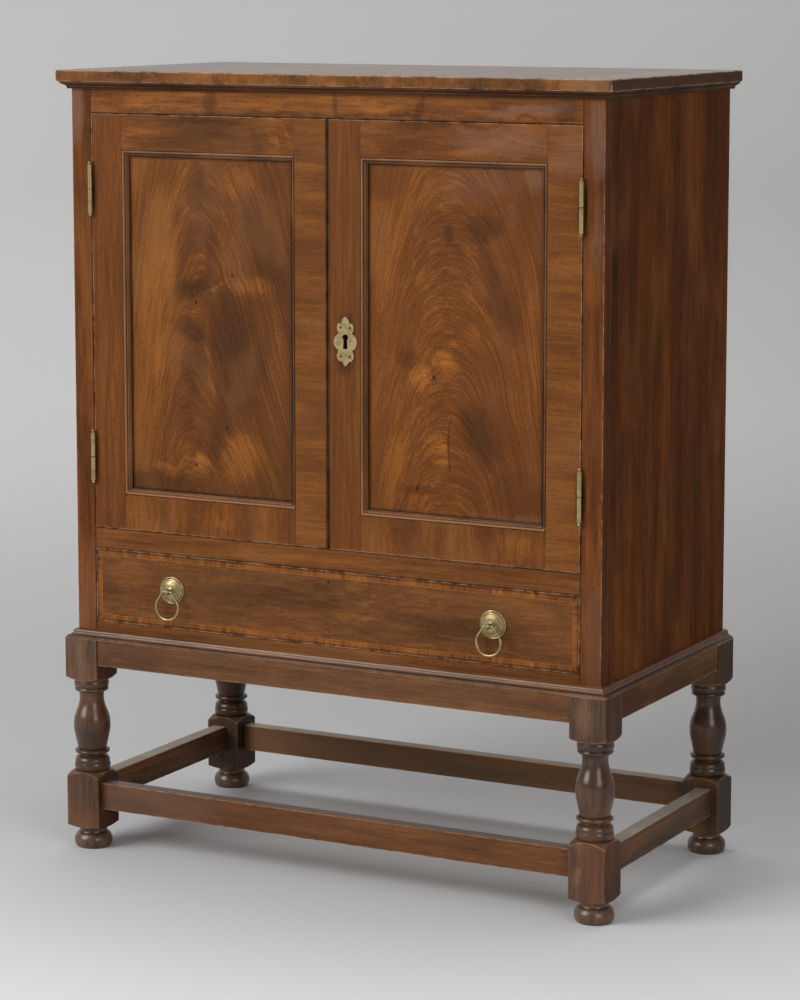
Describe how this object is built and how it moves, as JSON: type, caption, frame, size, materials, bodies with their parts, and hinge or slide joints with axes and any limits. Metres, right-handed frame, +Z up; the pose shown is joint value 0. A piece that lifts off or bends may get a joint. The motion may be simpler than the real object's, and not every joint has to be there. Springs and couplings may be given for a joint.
{
  "type": "cabinet on stand",
  "caption": "Two-door veneered wooden cupboard over a long drawer, on a stand with turned legs, box stretchers and bun feet, with brass hinges, ring pulls and escutcheon.",
  "frame": {"origin": "on the floor, under the middle of the whole cabinet's box", "axes": "+X to the right seen from the front, +Y from the front to the back, +Z up"},
  "size_m": [0.95, 0.497, 1.246],
  "materials": {
    "case_wood": "satin polished veneer, worn",
    "stand_wood": "satin polished",
    "door_wood": "satin polished veneer",
    "panel_veneer": "figured veneer, satin polished",
    "drawer_face": "satin polished veneer",
    "band_veneer": "satin polished crossband",
    "inside_wood": "bare, planed",
    "brass": "aged, rubbed",
    "steel": "dull"
  },
  "bodies": {
    "cabinet": {"front_stile_left": "case_wood", "front_stile_right": "case_wood", "top_rail": "case_wood", "mid_rail": "case_wood", "bottom_rail": "case_wood", "case_side_left": "case_wood", "case_side_right": "case_wood", "case_top": "case_wood", "cornice_moulding": "case_wood", "leg_front_left": "stand_wood", "leg_front_right": "stand_wood", "leg_back_left": "stand_wood", "leg_back_right": "stand_wood", "bun_feet": "stand_wood", "apron_front": "stand_wood", "apron_back": "stand_wood", "apron_left": "stand_wood", "apron_right": "stand_wood", "stretcher_front": "stand_wood", "stretcher_back": "stand_wood", "stretcher_left": "stand_wood", "stretcher_right": "stand_wood", "stand_moulding": "stand_wood", "case_bottom": "inside_wood", "dust_board": "inside_wood", "shelves": "inside_wood", "back_boards": "inside_wood", "drawer_runners": "inside_wood", "hinge_frame_leaves": "brass", "hinge_frame_screws": "steel", "hinge_pins": "brass"},
    "left_door": {"left_door_hinge_stile": "door_wood", "left_door_meeting_stile": "door_wood", "left_door_rails": "door_wood", "left_door_panel": "panel_veneer", "left_door_moulding": "door_wood", "left_door_hinge_leaves": "brass", "left_door_screws": "steel", "bolt_plates": "brass"},
    "right_door": {"right_door_hinge_stile": "door_wood", "right_door_meeting_stile": "door_wood", "right_door_rails": "door_wood", "right_door_panel": "panel_veneer", "right_door_moulding": "door_wood", "right_door_hinge_leaves": "brass", "right_door_screws": "steel", "lock_case": "steel", "escutcheon": "brass"},
    "drawer": {"drawer_front": "drawer_face", "drawer_banding": "band_veneer", "drawer_sides": "inside_wood", "drawer_back": "inside_wood", "drawer_bottom": "inside_wood", "pull_roses": "brass", "pull_posts": "brass"},
    "left_ring": {"ring_left": "brass"},
    "right_ring": {"ring_right": "brass"},
    "lock_bolt": {"lock_bolt": "steel"},
    "upper_bolt": {"left_door_upper_bolt": "brass"},
    "lower_bolt": {"left_door_lower_bolt": "brass"}
  },
  "joints": [
    {"name": "left_door_hinge", "type": "hinge", "parent": "cabinet", "child": "left_door", "pos_m": [-0.4224, -0.2328, 0.85], "axis": [0, 0, -1], "range_deg": [0, 170]},
    {"name": "right_door_hinge", "type": "hinge", "parent": "cabinet", "child": "right_door", "pos_m": [0.4224, -0.2328, 0.85], "axis": [0, 0, 1], "range_deg": [0, 170]},
    {"name": "drawer_slide", "type": "slide", "parent": "cabinet", "child": "drawer", "axis": [0, -1, 0], "range_m": [0, 0.3]},
    {"name": "left_ring_swing", "type": "hinge", "parent": "drawer", "child": "left_ring", "pos_m": [-0.281, -0.2438, 0.435], "axis": [-1, 0, 0], "range_deg": [-10, 190]},
    {"name": "right_ring_swing", "type": "hinge", "parent": "drawer", "child": "right_ring", "pos_m": [0.281, -0.2438, 0.435], "axis": [-1, 0, 0], "range_deg": [-10, 190]},
    {"name": "lock_bolt_slide", "type": "slide", "parent": "right_door", "child": "lock_bolt", "axis": [-1, 0, 0], "range_m": [0, 0.009]},
    {"name": "upper_bolt_slide", "type": "slide", "parent": "left_door", "child": "upper_bolt", "axis": [0, 0, 1], "range_m": [0, 0.01]},
    {"name": "lower_bolt_slide", "type": "slide", "parent": "left_door", "child": "lower_bolt", "axis": [0, 0, -1], "range_m": [0, 0.01]}
  ]
}
